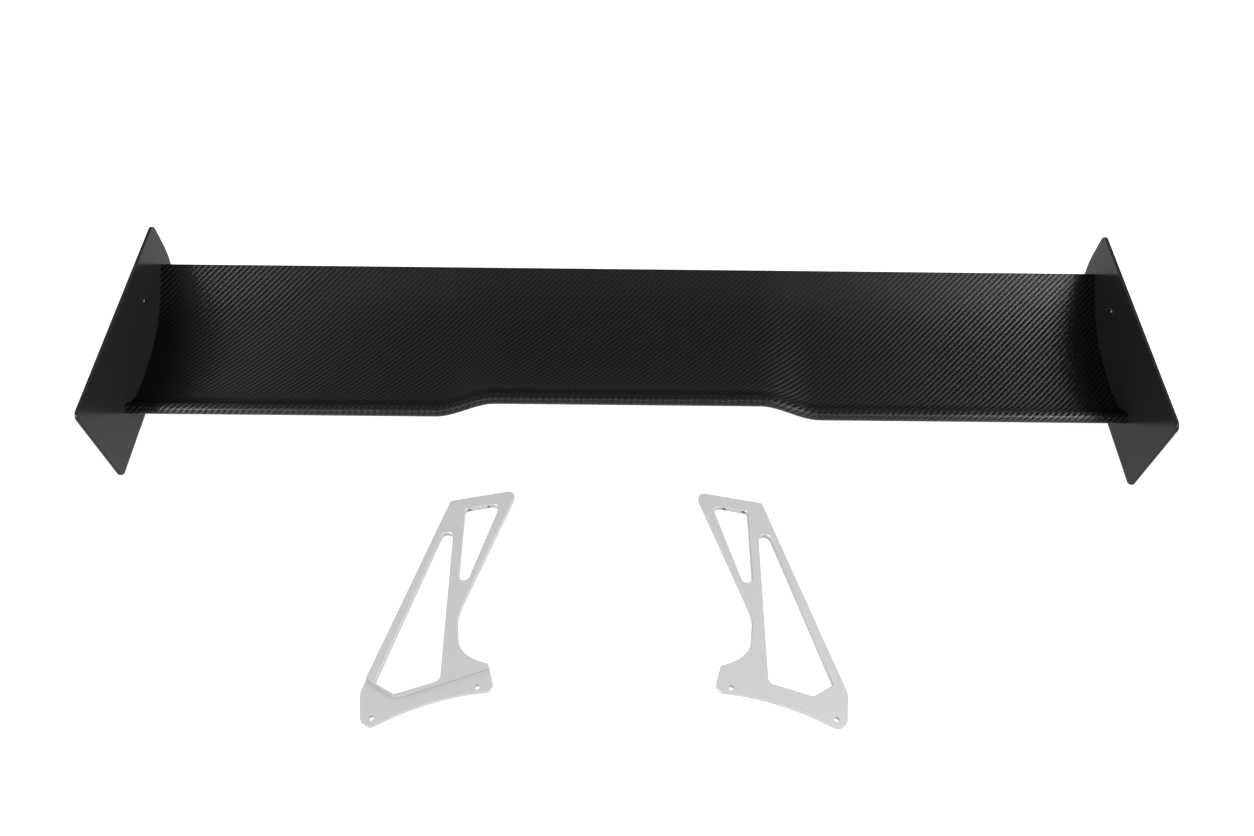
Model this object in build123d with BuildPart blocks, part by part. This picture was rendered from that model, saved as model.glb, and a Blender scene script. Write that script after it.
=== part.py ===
"""Rear wing for a circuit car, laid out with its two stands on a bench.

The wing stands on its end plates and the stands lie flat in front of it.  X runs along the span,
+Y points to the rear of the car, +Z is up, and Z = 0 is the bench.  All sizes are in millimetres.
"""
from math import cos, hypot, radians, sin
import os

from build123d import *

# Overall layout
half_span = 690.0           # centre to the inner face of an end plate
layout_depth = 682.0        # front of the stands to the rear of the end plates
rear_y = layout_depth / 2

# Main plane: outline of the outer panels, looking along X, as (y, z)
trailing_y = rear_y - 30.0
crest = (86.0, 55.5)
nose = (75.5, 47.0)
nose_foot = (84.0, 39.0)
top_line = [crest, (106.0, 41.0), (140.0, 36.8), (190.0, 39.4), (240.0, 51.6), (275.0, 70.0),
            (trailing_y, 94.0)]
bottom_line = [nose_foot, (102.0, 26.5), (132.0, 16.0), (165.0, 12.5), (207.0, 18.5), (250.0, 38.5),
               (285.0, 66.5), (trailing_y, 91.2)]
cavity_end = (299.0, 83.3)
skin = 2.0                  # laminate thickness
nose_inner = (78.2, 46.8)

# Raised centre of the main plane: the nose moves up and back, the trailing edge stays straight
centre_rise = 18.0
centre_setback = 10.5
step_inner_x = 182.0
step_outer_x = 266.0
step_slices = 10

# Inside the main plane
rib_thickness = 10.0
front_spar_y = (128.0, 136.0)
rear_spar_y = (228.0, 236.0)
mount_x = 345.0
mount_block_width = 40.0
step_rib_x = 275.0
step_rib_thickness = 6.0
mount_screw_y = (165.0, 191.0)
insert_radius = 5.0
insert_bore_radius = 2.1
insert_bore_depth = 12.0
mount_insert_foot_z = 18.6  # just above the lower skin, in a pocket of the block
mount_insert_length = 15.0
mount_hole_radius = 2.75    # for the M5 screw that comes up through the lower skin
glue_gap = 0.1

# End plates
plate_thickness = 4.5
plate_length = 342.0
plate_height = 146.0
plate_front_y = rear_y - plate_length
plate_sweep_radius = 105.0  # lower rear corner
plate_corner_radius = 10.0
plate_edge_radius = 1.2
plate_screw_points = [(108.0, 32.4), (175.0, 26.5), (251.0, 48.0)]
plate_screw_radius = 3.0
plate_hole_radius = 3.3
washer_radius = 6.0
washer_thickness = 1.2
screw_head_radius = 5.25
screw_head_height = 3.3
screw_socket_radius = 2.0
screw_length = 14.0
head_edge_share = 0.7       # of a screw head's height, rounded off its rim
socket_depth_share = 0.6    # of a screw head's height
blanking_point = (233.0, 99.7)
blanking_radius = 2.0
blanking_head_radius = 3.8
blanking_head_height = 2.2
blanking_socket_radius = 1.4
blanking_nut_height = 3.2
blanking_nut_radius = 4.0
blanking_tip = 0.5          # how far the screw shows past its nut

# Stands, in their own plane: a runs along the line of the base holes, b towards the wing
stand_thickness = 10.0
foot_rebate = 4.0           # the foot is thinner by this much, on one face only
stand_hole_spacing = 127.0
stand_hole_radius = 3.25
toe = (-15.5, -13.5)
toe_top = (-8.2, 34.5)
top_front = (148.3, 260.8)
top_rear = (238.5, 250.9)
waist_top = (138.0, 116.6)
waist_line = [waist_top, (119.8, 77.0), (117.4, 62.0), (124.5, 41.0), (140.0, 27.0)]
heel_top = (146.0, 23.8)
heel = (145.6, -10.8)
arch_middle = (66.0, -2.2)
corner_radii = {toe: 12.0, toe_top: 14.0, top_rear: 7.5, heel_top: 5.0, heel: 9.0}
large_window = [(154.5, 254.3), (85.9, 20.0), (31.0, 19.5), (10.5, 40.6)]
large_window_radii = [8.0, 8.0, 3.0, 4.0]
small_window = [(122.5, 104.8), (211.9, 237.3), (164.3, 242.6)]
small_window_radii = [7.0, 7.0, 6.0]
ledge_line = [(-4.0, 56.0), (30.5, 13.0), (160.0, 17.4)]
ledge_radius = 22.0
below_stand = -60.0
edge_chamfer = 0.8
top_screw_radius = 2.75
top_screw_a = (171.0, 197.0)
top_screw_depth = 26.0
stand_front_gap = {"left": 0.0, "right": 1.8}
stand_hole_x = {"left": -299.0, "right": 247.5}
stand_turn = {"left": 17.7, "right": 16.9}


def smooth(value):
    """Ease from 0 to 1 with no slope at either end."""
    value = min(max(value, 0.0), 1.0)
    return value * value * (3.0 - 2.0 * value)


def raised(x):
    """How far the section at x has changed from the outer panels (0) to the centre (1)."""
    return smooth((step_outer_x - abs(x)) / (step_outer_x - step_inner_x))


def shifted(point, amount):
    """Move a point of the section up and back, most at the nose and not at all at the tail."""
    y, z = point
    share = amount * (trailing_y - y) / (trailing_y - nose[0])
    return (y + centre_setback * share, z + centre_rise * share)


def changed(points, amount):
    """The same points of the section, all moved by that amount of the change."""
    return [shifted(point, amount) for point in points]


def inset(points, distance):
    """Offset an open line of points sideways, to its left when distance is positive."""
    result = []
    for index, (y, z) in enumerate(points):
        y0, z0 = points[max(index - 1, 0)]
        y1, z1 = points[min(index + 1, len(points) - 1)]
        length = hypot(y1 - y0, z1 - z0)
        result.append((y - distance * (z1 - z0) / length, z + distance * (y1 - y0) / length))
    return result


inner_top = inset(top_line, -skin)[:-1] + [cavity_end]
inner_bottom = inset(bottom_line, skin)[:-1] + [cavity_end]
trailing_joint = (trailing_y, (top_line[-1][1] + bottom_line[-1][1]) / 2)


def stations(end_x):
    """Section positions from -end_x to end_x, close together only where the section changes."""
    width = step_outer_x - step_inner_x
    step = [step_inner_x + width * index / step_slices for index in range(step_slices + 1)]
    half = step + [end_x]
    return [-x for x in reversed(half)] + half


def upper_section(amount):
    """The upper skin: it wraps the nose, and is bonded to the lower skin at both edges."""
    return [
        ThreePointArc(*changed([nose_foot, nose, crest], amount), mode=Mode.PRIVATE),
        Spline(*changed(top_line, amount), mode=Mode.PRIVATE),
        Polyline(*changed([top_line[-1], trailing_joint, cavity_end], amount), mode=Mode.PRIVATE),
        Spline(*changed(reversed(inner_top), amount), mode=Mode.PRIVATE),
        ThreePointArc(*changed([inner_top[0], nose_inner, inner_bottom[0]], amount), mode=Mode.PRIVATE),
        Line(*changed([inner_bottom[0], nose_foot], amount), mode=Mode.PRIVATE),
    ]


def lower_section(amount):
    """The lower skin, from the joint under the nose to the joint in the trailing edge."""
    return [
        Spline(*changed(bottom_line, amount), mode=Mode.PRIVATE),
        Polyline(*changed([bottom_line[-1], trailing_joint, cavity_end], amount), mode=Mode.PRIVATE),
        Spline(*changed(reversed(inner_bottom), amount), mode=Mode.PRIVATE),
        Line(*changed([inner_bottom[0], nose_foot], amount), mode=Mode.PRIVATE),
    ]


def cavity_section(amount):
    """The hollow between the two skins."""
    return [
        Spline(*changed(inner_top, amount), mode=Mode.PRIVATE),
        Spline(*changed(reversed(inner_bottom), amount), mode=Mode.PRIVATE),
        ThreePointArc(*changed([inner_bottom[0], nose_inner, inner_top[0]], amount), mode=Mode.PRIVATE),
    ]


def span_loft(section, positions):
    """A solid skinned through the given section at the given positions along the span."""
    with BuildPart() as solid:
        for x in positions:
            with BuildSketch(Plane.YZ.offset(x)):
                with BuildLine():
                    add(section(raised(x)))
                make_face()
        loft(ruled=True)
    return solid.part


def keep_band(x_range, y_range):
    """Keep only what lies between two spanwise and two chordwise planes."""
    with Locations(((x_range[0] + x_range[1]) / 2, (y_range[0] + y_range[1]) / 2, 0)):
        Box(x_range[1] - x_range[0], y_range[1] - y_range[0], 2 * plate_height, mode=Mode.INTERSECT)


def bored_plane(side, x, outward=1):
    """A plane across the span at side * x, whose local x runs along +Y and local y along +Z."""
    normal = (side * outward, 0, 0)
    return Plane(origin=(side * x, 0, 0), x_dir=(0, 1, 0), z_dir=normal)


def on_plane(side, outward, point):
    """Local coordinates, on such a plane, of the place (y, z)."""
    y, z = point
    return (y, z * side * outward)


def spanwise(side, near, far):
    """A range of x on one side of the centre, lowest first."""
    return sorted([side * near, side * far])


def distance_in_plane(plane, edge, line):
    """How far the middle of an edge is from a line drawn on that plane, height left out."""
    middle = plane.to_local_coords(edge @ 0.5)
    return line.distance_to(Vector(middle.X, middle.Y, 0))


def finish_part(builder, name, colour):
    """Label a finished piece and write it."""
    builder.part.label = name
    builder.part.color = Color(*colour)
    export_step(builder.part, f"parts/{name}.step")
    print(f"{name}: {len(builder.part.solids())} solid(s), {builder.part.volume / 1000:.1f} cm3")


carbon = (0.05, 0.05, 0.06)
black = (0.02, 0.02, 0.02)
alloy = (0.75, 0.76, 0.78)
steel = (0.6, 0.6, 0.62)
plywood = (0.7, 0.55, 0.35)
brass = (0.75, 0.6, 0.25)
sides = {"left": -1, "right": 1}
os.makedirs("parts", exist_ok=True)

# ---------------------------------------------------------------- skins
with BuildPart() as upper_skin:
    add(span_loft(upper_section, stations(half_span)))
finish_part(upper_skin, "upper_skin", carbon)

with BuildPart() as lower_skin:
    add(span_loft(lower_section, stations(half_span)))
    for side in sides.values():
        with BuildSketch():
            with Locations(*[(side * mount_x, y) for y in mount_screw_y]):
                Circle(mount_hole_radius)
        extrude(amount=mount_insert_foot_z, mode=Mode.SUBTRACT)
finish_part(lower_skin, "lower_skin", carbon)

# ---------------------------------------------------------------- spars, glued between the skins
rib_inner_x = half_span - rib_thickness
for name, y_range in {"front_spar": front_spar_y, "rear_spar": rear_spar_y}.items():
    with BuildPart() as spar:
        add(span_loft(cavity_section, stations(half_span)))
        keep_band((-rib_inner_x, rib_inner_x), y_range)
    finish_part(spar, name, carbon)

for hand, side in sides.items():
    # ------------------------------------------------------------ end rib with its screw inserts
    with BuildPart() as end_rib:
        add(span_loft(cavity_section, spanwise(side, rib_inner_x, half_span)))
        with BuildSketch(bored_plane(side, half_span)):
            with Locations(*[on_plane(side, 1, point) for point in plate_screw_points]):
                Circle(insert_radius + glue_gap)
        extrude(amount=-rib_thickness, mode=Mode.SUBTRACT)
    finish_part(end_rib, f"{hand}_end_rib", plywood)

    with BuildPart() as rib_inserts:
        with BuildSketch(bored_plane(side, half_span)):
            with Locations(*[on_plane(side, 1, point) for point in plate_screw_points]):
                Circle(insert_radius)
                Circle(plate_screw_radius + glue_gap, mode=Mode.SUBTRACT)
        extrude(amount=-rib_thickness)
    finish_part(rib_inserts, f"{hand}_rib_inserts", brass)

    # ------------------------------------------------------------ hard point for a stand
    half_width = mount_block_width / 2
    block_x = spanwise(side, mount_x - half_width, mount_x + half_width)
    with BuildPart() as mount_block:
        add(span_loft(cavity_section, block_x))
        keep_band(block_x, (front_spar_y[1], rear_spar_y[0]))
        with BuildSketch():
            with Locations(*[(side * mount_x, y) for y in mount_screw_y]):
                Circle(mount_hole_radius)
        extrude(amount=mount_insert_foot_z, mode=Mode.SUBTRACT)
        with BuildSketch(Plane.XY.offset(mount_insert_foot_z)):
            with Locations(*[(side * mount_x, y) for y in mount_screw_y]):
                Circle(insert_radius + glue_gap)
        extrude(amount=mount_insert_length + glue_gap, mode=Mode.SUBTRACT)
    finish_part(mount_block, f"{hand}_mount_block", plywood)

    with BuildPart() as mount_inserts:
        with BuildSketch(Plane.XY.offset(mount_insert_foot_z)):
            with Locations(*[(side * mount_x, y) for y in mount_screw_y]):
                Circle(insert_radius)
        extrude(amount=mount_insert_length)
        with BuildSketch(Plane.XY.offset(mount_insert_foot_z)):
            with Locations(*[(side * mount_x, y) for y in mount_screw_y]):
                Circle(insert_bore_radius)
        extrude(amount=insert_bore_depth, mode=Mode.SUBTRACT)
    finish_part(mount_inserts, f"{hand}_mount_inserts", brass)

    # ------------------------------------------------------------ rib beside the step in the nose
    rib_x = spanwise(side, step_rib_x, step_rib_x + step_rib_thickness)
    with BuildPart() as step_rib:
        add(span_loft(cavity_section, rib_x))
        keep_band(rib_x, (front_spar_y[1], rear_spar_y[0]))
    finish_part(step_rib, f"{hand}_step_rib", plywood)

    # ------------------------------------------------------------ end plate
    with BuildPart() as end_plate:
        with BuildSketch(bored_plane(side, half_span)):
            corners = [
                (plate_front_y, 0.0),
                (rear_y, 0.0),
                (rear_y, plate_height),
                (plate_front_y, plate_height),
            ]
            with BuildLine():
                Polyline(*[on_plane(side, 1, corner) for corner in corners], close=True)
            make_face()
            radii = [plate_corner_radius, plate_sweep_radius, plate_corner_radius, plate_corner_radius]
            for corner, radius in zip(corners, radii):
                nearest = vertices().sort_by_distance(on_plane(side, 1, corner) + (0,))[0]
                fillet(nearest, radius)
        extrude(amount=plate_thickness)
        broad_faces = faces().filter_by(Axis.X)
        fillet(broad_faces.edges(), plate_edge_radius)
        with BuildSketch(bored_plane(side, half_span)):
            with Locations(*[on_plane(side, 1, point) for point in plate_screw_points]):
                Circle(plate_hole_radius)
            with Locations(on_plane(side, 1, blanking_point)):
                Circle(blanking_radius + glue_gap)
        extrude(amount=plate_thickness, mode=Mode.SUBTRACT)
    finish_part(end_plate, f"{hand}_end_plate", black)

    # ------------------------------------------------------------ end plate fasteners
    with BuildPart() as plate_washers:
        with BuildSketch(bored_plane(side, half_span + plate_thickness)):
            with Locations(*[on_plane(side, 1, point) for point in plate_screw_points]):
                Circle(washer_radius)
                Circle(plate_hole_radius, mode=Mode.SUBTRACT)
        extrude(amount=washer_thickness)
    finish_part(plate_washers, f"{hand}_plate_washers", steel)

    head_plane = bored_plane(side, half_span + plate_thickness + washer_thickness)
    with BuildPart() as plate_screws:
        with BuildSketch(head_plane):
            with Locations(*[on_plane(side, 1, point) for point in plate_screw_points]):
                Circle(screw_head_radius)
        extrude(amount=screw_head_height)
        fillet(edges().group_by(Axis.X)[0 if side < 0 else -1], screw_head_height * head_edge_share)
        with BuildSketch(head_plane):
            with Locations(*[on_plane(side, 1, point) for point in plate_screw_points]):
                Circle(plate_screw_radius)
        extrude(amount=-screw_length)
        with BuildSketch(head_plane.offset(screw_head_height)):
            with Locations(*[on_plane(side, 1, point) for point in plate_screw_points]):
                RegularPolygon(screw_socket_radius, 6)
        extrude(amount=-screw_head_height * socket_depth_share, mode=Mode.SUBTRACT)
    finish_part(plate_screws, f"{hand}_plate_screws", steel)

    # ------------------------------------------------------------ screw that closes the spare hole
    inner_plane = bored_plane(side, half_span, outward=-1)
    with BuildPart() as blanking_screw:
        with BuildSketch(inner_plane):
            with Locations(on_plane(side, -1, blanking_point)):
                Circle(blanking_head_radius)
        extrude(amount=blanking_head_height)
        fillet(edges().group_by(Axis.X)[-1 if side < 0 else 0], blanking_head_height * head_edge_share)
        with BuildSketch(inner_plane):
            with Locations(on_plane(side, -1, blanking_point)):
                Circle(blanking_radius)
        extrude(amount=-(plate_thickness + blanking_nut_height + blanking_tip))
        with BuildSketch(inner_plane.offset(blanking_head_height)):
            with Locations(on_plane(side, -1, blanking_point)):
                RegularPolygon(blanking_socket_radius, 6)
        extrude(amount=-blanking_head_height * socket_depth_share, mode=Mode.SUBTRACT)
    finish_part(blanking_screw, f"{hand}_blanking_screw", steel)

    with BuildPart() as blanking_nut:
        with BuildSketch(bored_plane(side, half_span + plate_thickness)):
            with Locations(on_plane(side, 1, blanking_point)):
                RegularPolygon(blanking_nut_radius, 6)
                Circle(blanking_radius + glue_gap, mode=Mode.SUBTRACT)
        extrude(amount=blanking_nut_height)
    finish_part(blanking_nut, f"{hand}_blanking_nut", steel)

    # ------------------------------------------------------------ stand, one shape turned over
    turn = radians(stand_turn[hand])
    along = (-side * cos(turn), sin(turn), 0)
    face_up = (0, 0, -side)
    flat = Plane(origin=(0, 0, 0), x_dir=along, z_dir=face_up)
    with BuildPart() as stand:
        with BuildSketch(flat):
            with BuildLine():
                Polyline(heel, heel_top, waist_line[-1])
                Spline(*reversed(waist_line), tangents=[(-0.8, 0.6), (0.6, 0.8)])
                Polyline(waist_top, top_rear, top_front, toe_top, toe)
                ThreePointArc(toe, arch_middle, heel)
            make_face()
            for corner, radius in corner_radii.items():
                fillet(vertices().sort_by_distance(corner + (0,))[0], radius)
            for window, radii in (
                (large_window, large_window_radii),
                (small_window, small_window_radii),
            ):
                with BuildSketch(mode=Mode.SUBTRACT):
                    with BuildLine():
                        Polyline(*window, close=True)
                    make_face()
                    for corner, radius in zip(window, radii):
                        fillet(vertices().sort_by_distance(corner + (0,))[0], radius)
        extrude(amount=stand_thickness)
        chamfer(faces().filter_by(Axis.Z).edges(), edge_chamfer)
        with BuildSketch(flat.offset(stand_thickness)):
            with BuildLine():
                ledge = FilletPolyline(*ledge_line, radius=ledge_radius)
                Polyline(
                    ledge @ 1,
                    (ledge_line[-1][0], below_stand),
                    (below_stand, below_stand),
                    (below_stand, ledge_line[0][1]),
                    ledge @ 0,
                )
            make_face()
        extrude(amount=-foot_rebate, mode=Mode.SUBTRACT)
        foot_face = faces().filter_by(Axis.Z).group_by(Axis.Z)[1]
        rim = [edge for edge in foot_face.edges() if distance_in_plane(flat, edge, ledge) > edge_chamfer]
        chamfer(rim, edge_chamfer)
        with BuildSketch(flat):
            with Locations((0, 0), (stand_hole_spacing, 0)):
                Circle(stand_hole_radius)
        extrude(amount=stand_thickness, mode=Mode.SUBTRACT)
        top_along = (Vector(*top_rear) - Vector(*top_front)).normalized()
        towards_wing = flat.y_dir * top_along.X - flat.x_dir * top_along.Y
        for a in top_screw_a:
            b = top_front[1] + (a - top_front[0]) * top_along.Y / top_along.X
            mouth = flat.from_local_coords((a, b, stand_thickness / 2))
            with BuildSketch(Plane(origin=mouth, z_dir=towards_wing)):
                Circle(top_screw_radius)
            extrude(amount=-top_screw_depth, mode=Mode.SUBTRACT)
    hole_y = stand_front_gap[hand] - rear_y - stand.part.bounding_box().min.Y
    lift = 0 if side < 0 else stand_thickness
    stand.part.position = (stand_hole_x[hand], hole_y, lift)
    print(f"{hand} stand: front base hole at y = {hole_y:.3f}")
    finish_part(stand, f"{hand}_stand", alloy)
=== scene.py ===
"""A carbon rear wing on its end plates, with its two aluminium stands lying in front of it."""

import math

import bmesh
import bpy
import numpy as np
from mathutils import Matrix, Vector


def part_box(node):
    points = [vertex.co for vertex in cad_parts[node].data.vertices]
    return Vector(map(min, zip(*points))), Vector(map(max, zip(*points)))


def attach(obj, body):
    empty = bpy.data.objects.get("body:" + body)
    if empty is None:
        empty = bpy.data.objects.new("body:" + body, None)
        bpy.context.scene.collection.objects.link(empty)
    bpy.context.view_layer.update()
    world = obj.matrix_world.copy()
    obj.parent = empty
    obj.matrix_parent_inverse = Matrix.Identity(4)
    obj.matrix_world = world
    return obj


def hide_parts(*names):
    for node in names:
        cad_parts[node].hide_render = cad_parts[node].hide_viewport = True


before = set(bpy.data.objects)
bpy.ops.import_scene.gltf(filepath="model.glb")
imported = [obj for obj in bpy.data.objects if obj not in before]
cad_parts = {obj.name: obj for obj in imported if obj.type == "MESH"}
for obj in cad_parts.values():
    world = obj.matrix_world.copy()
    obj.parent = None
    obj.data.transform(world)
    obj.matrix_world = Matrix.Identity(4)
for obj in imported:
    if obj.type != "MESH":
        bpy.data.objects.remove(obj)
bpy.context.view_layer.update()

# Camera: a 28 mm lens on a 36 mm sensor, above and in front of the wing
LENS = 28.33
SENSOR = 36.0
CAMERA_PLACE = (-0.0078, -0.709, 1.1583)
CAMERA_PITCH = 54.8      # degrees below the horizon
CAMERA_YAW = 0.48        # degrees towards +X
CAMERA_ROLL = 0.96       # degrees, the right-hand side of the picture hangs lower

# Skins, drawn again finely from the CAD's own outline
CORNER_ANGLE = math.radians(30)
OUTLINE_STEP = 0.0025
STEP_SLICES = 40         # sections across each step in the nose
PLAIN_SLICES = 24        # sections along each plain stretch
WELD = 1e-6              # points closer than this are one point
FLAT = 1e-5              # how close to an end a point on its flat face lies
SAME_SECTION = 1e-4      # how close in X the points of one section lie

# Carbon cloth: 2x2 twill
TOW_WIDTH = 0.00215
TWILL_REPEAT = 4.0       # tows
FLOAT_LENGTH = 2.0       # tows that a tow passes over before it dives under
FLOAT_ARCH = 0.6         # below 1: a float rises fast from its ends and is flat on top
TOW_CROWN = 0.45         # the same, across the tow
STRAND_FINE = 9000.0     # strands per metre across a tow
STRAND_LONG = 300.0      # and their slow change along it
TURN_TO_WEFT = 0.25      # a quarter turn of the highlight

# The floor lights itself, so that no shadow shows on it
FLOOR_HALF = 30.0
FLOOR_DROP = 0.0004      # just below the end plates' feet
FLOOR_GLOW = 0.92

# World: brightness near the horizon and overhead, and how far up (0 to 1) each one holds
HORIZON, HORIZON_TOP = 0.75, 0.05
OVERHEAD, OVERHEAD_FOOT = 0.46, 0.65

# Lamps: name, place, the point it faces, size, watts, and whether reflections show it
LAMPS = (
    ("front_fill", (3.0, -1.2, 3.2), (0, 0.1, 0), (4.5, 2.0), 330, False),
    ("rear_fill", (0.8, 3.6, 3.2), (0, 0.1, 0), (4.5, 2.0), 150, False),
    ("left_softbox", (-2.1, -1.7, 1.2), (-0.3, 0.1, 0), (0.9, 1.1), 105, True),
    ("right_softbox", (1.9, -1.3, 2.0), (0.4, 0.1, 0), (0.9, 1.0), 62, True),
)


# ---------------------------------------------------------------- section of the skins, from the frame
def end_loop(node):
    """The outline of a node's flat end at its highest X, as ordered (y, z) points."""
    end_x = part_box(node)[1].x
    bm = bmesh.new()
    bm.from_mesh(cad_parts[node].data)
    bmesh.ops.remove_doubles(bm, verts=bm.verts, dist=WELD)

    def on_end(item):
        return all(abs(v.co.x - end_x) < FLAT for v in item.verts)

    rim = [e for e in bm.edges if on_end(e) and sum(on_end(f) for f in e.link_faces) == 1]
    links = {}
    for edge in rim:
        a, b = edge.verts
        links.setdefault(a, []).append(b)
        links.setdefault(b, []).append(a)
    start = max(links, key=lambda v: (v.co.y, v.co.z))
    loop, previous, current = [start], start, links[start][0]
    while current is not start:
        loop.append(current)
        following = links[current][0] if links[current][0] is not previous else links[current][1]
        previous, current = current, following
    points = np.array([(v.co.y, v.co.z) for v in loop])
    bm.free()
    area = np.sum(points[:, 0] * np.roll(points[:, 1], -1) - np.roll(points[:, 0], -1) * points[:, 1])
    return points if area > 0 else np.roll(points[::-1], 1, axis=0)


def smooth_run(points, step):
    """A run of points between two corners, drawn again at even steps through a natural cubic."""
    lengths = np.concatenate([[0], np.cumsum(np.linalg.norm(np.diff(points, axis=0), axis=1))])
    count = max(1, round(lengths[-1] / step))
    place = np.linspace(0, lengths[-1], count + 1)
    if len(points) < 4:
        return np.stack([np.interp(place, lengths, points[:, i]) for i in (0, 1)], axis=1)
    gaps = np.diff(lengths)
    system = np.diag(np.concatenate([[1], 2 * (gaps[:-1] + gaps[1:]), [1]]))
    for i in range(1, len(points) - 1):
        system[i, i - 1], system[i, i + 1] = gaps[i - 1], gaps[i]
    slopes = np.diff(points, axis=0) / gaps[:, None]
    right = np.zeros_like(points)
    right[1:-1] = 6 * np.diff(slopes, axis=0)
    bend = np.linalg.solve(system, right)
    index = np.clip(np.searchsorted(lengths, place) - 1, 0, len(gaps) - 1)
    gap = gaps[index][:, None]
    after = (place - lengths[index])[:, None]
    before = gap - after
    curve = (bend[index] * before**3 + bend[index + 1] * after**3) / (6 * gap)
    curve += (points[index] / gap - bend[index] * gap / 6) * before
    curve += (points[index + 1] / gap - bend[index + 1] * gap / 6) * after
    return curve


def smooth_loop(points):
    """The closed outline at even steps, with its corners kept, and which points are corners."""
    before = points - np.roll(points, 1, axis=0)
    after = np.roll(points, -1, axis=0) - points
    turn = np.arctan2(
        before[:, 0] * after[:, 1] - before[:, 1] * after[:, 0], (before * after).sum(1)
    )
    corners = [i for i in range(len(points)) if abs(turn[i]) > CORNER_ANGLE]
    result, sharp = [], []
    for i, first in enumerate(corners):
        last = corners[(i + 1) % len(corners)]
        run = points[first : last + 1] if last > first else np.vstack([points[first:], points[: last + 1]])
        drawn = smooth_run(run, OUTLINE_STEP)[:-1]
        sharp += [True] + [False] * (len(drawn) - 1)
        result.append(drawn)
    return np.vstack(result), sharp


def step_sizes():
    """From the frame: where the raised centre starts and ends, and how far its nose moves."""
    verts = [v.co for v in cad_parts["upper_skin"].data.vertices]
    places = sorted({round(abs(v.x), 4) for v in verts})
    inner, outer, end = places[0], places[-2], places[-1]
    centre_nose = min((v for v in verts if abs(v.x) < inner + SAME_SECTION), key=lambda v: v.y)
    end_nose = min((v for v in verts if v.x > end - SAME_SECTION), key=lambda v: v.y)
    return inner, outer, end, end_nose.y, centre_nose.y - end_nose.y, centre_nose.z - end_nose.z


STEP_INNER, STEP_OUTER, HALF_SPAN, NOSE_Y, SETBACK, RISE = step_sizes()
TAIL_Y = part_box("upper_skin")[1].y


def raised(x):
    """0 on the outer panels, 1 across the raised centre, with an eased step between."""
    value = min(max((STEP_OUTER - abs(x)) / (STEP_OUTER - STEP_INNER), 0.0), 1.0)
    return value * value * (3 - 2 * value)


def span_places():
    """Sections along the span, close together where the nose steps up."""
    step = np.linspace(STEP_INNER, STEP_OUTER, STEP_SLICES + 1)
    outer = np.linspace(STEP_OUTER, HALF_SPAN, PLAIN_SLICES + 1)[1:]
    half = np.concatenate([step, outer])
    return np.concatenate([-half[::-1], np.linspace(-STEP_INNER, STEP_INNER, PLAIN_SLICES)[1:-1], half])


def skin(node):
    """A skin of the main plane as a fine closed mesh, mapped in metres for its cloth."""
    outline, sharp = smooth_loop(end_loop(node))
    count = len(outline)
    reach = np.linalg.norm(np.roll(outline, -1, axis=0) - outline, axis=1)
    along = np.concatenate([[0], np.cumsum(reach)])
    bm = bmesh.new()
    uv = bm.loops.layers.uv.new("cloth")
    rows = []
    for x in span_places():
        share = raised(x) * (TAIL_Y - outline[:, 0]) / (TAIL_Y - NOSE_Y)
        rows.append([bm.verts.new((x, y + SETBACK * s, z + RISE * s)) for (y, z), s in zip(outline, share)])
    for row, following in zip(rows, rows[1:]):
        for i in range(count):
            j = (i + 1) % count
            face = bm.faces.new((row[j], row[i], following[i], following[j]))
            for loop, v in zip(face.loops, (along[i + 1], along[i], along[i], along[i + 1])):
                loop[uv].uv = (loop.vert.co.x, v)
            face.smooth = True
            edge = bm.edges.get((row[i], following[i]))
            edge.smooth = not sharp[i]
    for cap in (rows[0], rows[-1][::-1]):
        face = bm.faces.new(cap)
        for loop in face.loops:
            loop[uv].uv = (loop.vert.co.y, loop.vert.co.z)
        for edge in face.edges:
            edge.smooth = False
    bmesh.ops.recalc_face_normals(bm, faces=bm.faces)
    mesh = bpy.data.meshes.new(node + "_cloth")
    bm.to_mesh(mesh)
    bm.free()
    piece = bpy.data.objects.new(node + "_cloth", mesh)
    bpy.context.scene.collection.objects.link(piece)
    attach(piece, "wing")
    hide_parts(node)
    return piece


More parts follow.
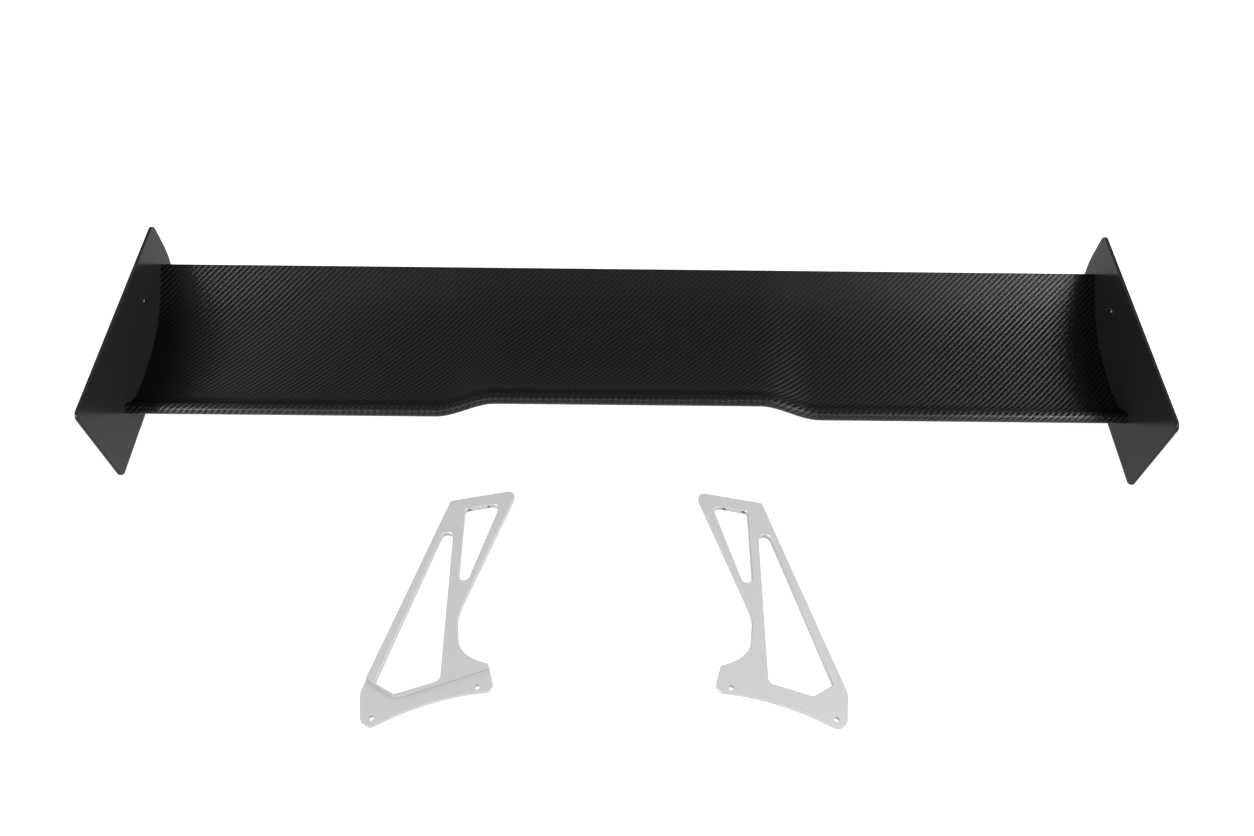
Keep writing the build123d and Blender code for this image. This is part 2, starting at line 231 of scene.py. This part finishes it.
# ---------------------------------------------------------------- materials
class Nodes:
    """A short way to write a node tree."""

    def __init__(self, name):
        self.material = bpy.data.materials.new(name)
        self.material.use_nodes = True
        self.tree = self.material.node_tree
        self.shader = self.tree.nodes["Principled BSDF"]

    def set(self, **values):
        """Fixed values on the shader's own sockets."""
        for key, value in values.items():
            self.shader.inputs[key.replace("_", " ")].default_value = value

    def link(self, source, target):
        """source drives one of the shader's inputs."""
        self.tree.links.new(source, self.shader.inputs[target])

    def add(self, kind, **settings):
        """A node; settings whose name is an input are linked or set, the rest are properties."""
        node = self.tree.nodes.new(kind)
        for key, value in settings.items():
            if hasattr(node, key) and key not in node.inputs:
                setattr(node, key, value)
        for key, value in settings.items():
            if key in node.inputs:
                self.feed(node.inputs[key], value)
        return node

    def feed(self, socket, value):
        """Link value to the socket if it is another node's output, or else set it."""
        if isinstance(value, bpy.types.NodeSocket):
            self.tree.links.new(value, socket)
        else:
            socket.default_value = value

    def math(self, operation, *values):
        node = self.tree.nodes.new("ShaderNodeMath")
        node.operation = operation
        for socket, value in zip(node.inputs, values):
            self.feed(socket, value)
        return node.outputs[0]

    def blend(self, share, low, high):
        """low where share is 0, high where it is 1: two colours."""
        node = self.tree.nodes.new("ShaderNodeMix")
        node.data_type = "RGBA"
        self.feed(node.inputs["Factor"], share)
        self.feed(node.inputs["A"], low)
        self.feed(node.inputs["B"], high)
        return node.outputs["Result"]

    def spread(self, value, low, high):
        """value from 0 to 1 turned into low to high."""
        node = self.add("ShaderNodeMapRange", Value=value)
        node.inputs["To Min"].default_value = low
        node.inputs["To Max"].default_value = high
        return node.outputs["Result"]

    def noise(self, place, scale, detail=3.0):
        return self.add("ShaderNodeTexNoise", Vector=place, Scale=scale, Detail=detail).outputs["Fac"]

    def bump(self, height, strength, distance):
        node = self.add("ShaderNodeBump", Height=height, Strength=strength, Distance=distance)
        self.link(node.outputs["Normal"], "Normal")


def grey(value):
    return (value, value, value, 1.0)


def carbon_cloth():
    """Twill under a thin clear coat.  Each tow passes over two and under two, and the floats
    step sideways by one tow from row to row, which draws the diagonals."""
    n = Nodes("carbon_cloth")
    place = n.add("ShaderNodeUVMap", uv_map="cloth").outputs["UV"]
    apart = n.add("ShaderNodeSeparateXYZ", Vector=place)
    across = n.math("DIVIDE", apart.outputs["X"], TOW_WIDTH)
    along = n.math("DIVIDE", apart.outputs["Y"], TOW_WIDTH)
    column, row = n.math("FLOOR", across), n.math("FLOOR", along)

    def in_repeat(first, second):
        """Where in the twill's repeat a place lies, in tows."""
        return n.math("FLOORED_MODULO", n.math("ADD", first, second), TWILL_REPEAT)

    def float_height(position, side_place):
        """Height of a float: arched along its length and rounded across."""
        arch = n.math("SINE", n.math("MULTIPLY", position, math.pi / FLOAT_LENGTH))
        arch = n.math("POWER", n.math("ABSOLUTE", arch), FLOAT_ARCH)
        side = n.math("SINE", n.math("MULTIPLY", n.math("FRACT", side_place), math.pi))
        return n.math("MULTIPLY", arch, n.math("POWER", side, TOW_CROWN))

    warp_up = n.math("LESS_THAN", in_repeat(column, row), FLOAT_LENGTH)
    warp_height = float_height(in_repeat(column, along), across)
    weft_height = float_height(in_repeat(across, row), along)
    height = n.add("ShaderNodeMix", Factor=warp_up, A=weft_height, B=warp_height).outputs["Result"]

    def strands(scale_x, scale_y):
        """Fine streaks along one set of tows."""
        stretched = n.add("ShaderNodeMapping", Vector=place, Scale=(scale_x, scale_y, 1.0))
        return n.noise(stretched.outputs["Vector"], scale=1.0, detail=1.0)

    # The tows along the span have the lighter base colour. This is a painted glint, standing in for the
    # sheen that side lighting raises on them, since warp and weft are the same carbon
    warp_tone = n.blend(strands(STRAND_FINE, STRAND_LONG), grey(0.026), grey(0.040))
    weft_glint_tone = n.blend(strands(STRAND_LONG, STRAND_FINE), grey(0.060), grey(0.092))
    fibre_tone_with_glint = n.blend(warp_up, weft_glint_tone, warp_tone)
    # Each float darkens to near black towards its ends and edges, where it dips under the next tow. This is
    # painted shade in the hollows between tows
    n.link(n.blend(height, grey(0.006), fibre_tone_with_glint), "Base Color")
    n.link(n.spread(height, low=0.5, high=0.42), "Roughness")
    n.bump(height, strength=0.5, distance=0.0002)
    # A fibre spreads light across itself: the highlight's long way turns with the tow on top
    n.link(n.add("ShaderNodeTangent", direction_type="UV_MAP", uv_map="cloth").outputs["Tangent"], "Tangent")
    n.link(n.spread(warp_up, low=TURN_TO_WEFT, high=0.0), "Anisotropic Rotation")
    n.set(Metallic=1.0, Anisotropic=0.95, Coat_Weight=0.12, Coat_Roughness=0.2, Coat_IOR=1.4)
    return n.material


def gloss_black():
    """Black lacquer: nearly black, smooth, with a faint ripple."""
    n = Nodes("gloss_black_lacquer")
    place = n.add("ShaderNodeTexCoord").outputs["Object"]
    n.link(n.blend(n.noise(place, scale=900.0), grey(0.006), grey(0.011)), "Base Color")
    n.link(n.spread(n.noise(place, scale=60.0), low=0.16, high=0.24), "Roughness")
    n.bump(n.noise(place, scale=25.0), strength=0.04, distance=0.0006)
    n.set(Specular_IOR_Level=0.1)
    return n.material


def satin_aluminium():
    """Bead-blasted and anodised: fine pits, slightly uneven tone."""
    n = Nodes("satin_aluminium")
    place = n.add("ShaderNodeTexCoord").outputs["Object"]
    grain = n.noise(place, scale=2600.0, detail=2.0)
    cloud = n.noise(place, scale=14.0)
    tone = n.blend(grain, grey(0.30), grey(0.38))
    tone = n.blend(n.spread(cloud, low=0.0, high=0.25), tone, grey(0.29))
    n.link(tone, "Base Color")
    n.link(n.spread(grain, low=0.42, high=0.58), "Roughness")
    n.bump(grain, strength=0.25, distance=0.0001)
    n.set(Metallic=0.5)
    return n.material


def turned_metal(name, tone, tint):
    """A fastener's metal, a little uneven in tone and gloss."""
    n = Nodes(name)
    place = n.add("ShaderNodeTexCoord").outputs["Object"]
    colour = tuple(tone * c for c in tint) + (1.0,)
    darker = tuple(0.75 * c for c in colour[:3]) + (1.0,)
    n.link(n.blend(n.noise(place, scale=1800.0), darker, colour), "Base Color")
    n.link(n.spread(n.noise(place, scale=900.0), low=0.18, high=0.34), "Roughness")
    n.set(Metallic=1.0)
    return n.material


def birch_plywood():
    """Streaks of light and dark wood."""
    n = Nodes("birch_plywood")
    place = n.add("ShaderNodeTexCoord").outputs["Object"]
    grain = n.add("ShaderNodeMapping", Vector=place, Scale=(600.0, 40.0, 600.0)).outputs["Vector"]
    streak = n.noise(grain, scale=1.0, detail=4.0)
    n.link(n.blend(streak, (0.42, 0.28, 0.15, 1), (0.66, 0.49, 0.30, 1)), "Base Color")
    n.link(n.spread(streak, low=0.55, high=0.75), "Roughness")
    n.bump(streak, strength=0.2, distance=0.0002)
    return n.material


def paint(node, material):
    """Give a CAD node a finished material."""
    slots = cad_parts[node].data.materials
    slots.clear()
    slots.append(material)


carbon = carbon_cloth()
for node in ("upper_skin", "lower_skin"):
    skin(node).data.materials.append(carbon)

black = gloss_black()
alloy = satin_aluminium()
stainless = turned_metal("stainless_steel", tone=0.62, tint=(1.0, 1.0, 1.02))
dark_steel = turned_metal("blackened_steel", tone=0.16, tint=(1.0, 1.0, 1.0))
brass = turned_metal("brass", tone=0.8, tint=(1.0, 0.78, 0.36))
plywood = birch_plywood()
finishes = {
    ("_end_plate", "_spar"): black,
    ("_stand",): alloy,
    ("_inserts",): brass,
    ("_rib", "_block"): plywood,
    ("_blanking_screw",): dark_steel,
    ("_screws", "_washers", "_nut"): stainless,
}
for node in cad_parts:
    for endings, material in finishes.items():
        if node.endswith(endings):
            paint(node, material)


# ---------------------------------------------------------------- floor, light and camera
def lay_floor():
    """A plain pale floor that the wing stands on."""
    n = Nodes("pale_floor")
    n.set(Base_Color=grey(0.2), Roughness=0.7, Specular_IOR_Level=0.1)
    n.set(Emission_Color=grey(1.0), Emission_Strength=FLOOR_GLOW)
    mesh = bpy.data.meshes.new("floor")
    corners = [(x * FLOOR_HALF, y * FLOOR_HALF, 0) for x, y in ((-1, -1), (1, -1), (1, 1), (-1, 1))]
    mesh.from_pydata(corners, [], [(0, 1, 2, 3)])
    mesh.materials.append(n.material)
    floor = bpy.data.objects.new("floor", mesh)
    floor.location.z = -FLOOR_DROP
    bpy.context.scene.collection.objects.link(floor)


def hang_lamp(name, place, target, size, power, in_reflections):
    """A large soft lamp that faces a point."""
    lamp = bpy.data.lights.new(name, "AREA")
    lamp.shape = "RECTANGLE"
    lamp.size, lamp.size_y = size
    lamp.energy = power
    holder = bpy.data.objects.new(name, lamp)
    holder.location = place
    holder.rotation_euler = (Vector(target) - Vector(place)).to_track_quat("-Z", "Y").to_euler()
    holder.visible_glossy = in_reflections
    bpy.context.scene.collection.objects.link(holder)


def surroundings():
    """The studio's walls and ceiling: pale round the horizon, darker overhead."""
    world = bpy.data.worlds.new("studio")
    bpy.context.scene.world = world
    world.use_nodes = True
    tree = world.node_tree
    background = tree.nodes["Background"]
    place = tree.nodes.new("ShaderNodeTexCoord")
    apart = tree.nodes.new("ShaderNodeSeparateXYZ")
    ramp = tree.nodes.new("ShaderNodeValToRGB")
    tree.links.new(place.outputs["Generated"], apart.inputs["Vector"])
    tree.links.new(apart.outputs["Z"], ramp.inputs["Fac"])
    tree.links.new(ramp.outputs["Color"], background.inputs["Color"])
    ramp.color_ramp.interpolation = "EASE"
    low, high = ramp.color_ramp.elements
    low.position, low.color = HORIZON_TOP, grey(HORIZON)
    high.position, high.color = OVERHEAD_FOOT, grey(OVERHEAD)
    background.inputs["Strength"].default_value = 1.0


def place_camera():
    """Aim the camera by its pitch and yaw, then roll it about its own line of sight."""
    data = bpy.data.cameras.new("camera")
    data.lens, data.sensor_width = LENS, SENSOR
    camera = bpy.data.objects.new("camera", data)
    camera.location = CAMERA_PLACE
    pitch, yaw = math.radians(CAMERA_PITCH), math.radians(CAMERA_YAW)
    look = Vector((math.sin(yaw) * math.cos(pitch), math.cos(yaw) * math.cos(pitch), -math.sin(pitch)))
    camera.rotation_euler = look.to_track_quat("-Z", "Y").to_euler()
    camera.rotation_euler.rotate_axis("Z", math.radians(CAMERA_ROLL))
    bpy.context.scene.collection.objects.link(camera)
    bpy.context.scene.camera = camera


lay_floor()
surroundings()
for lamp in LAMPS:
    hang_lamp(*lamp)
place_camera()
bpy.context.scene.view_settings.view_transform = "Standard"
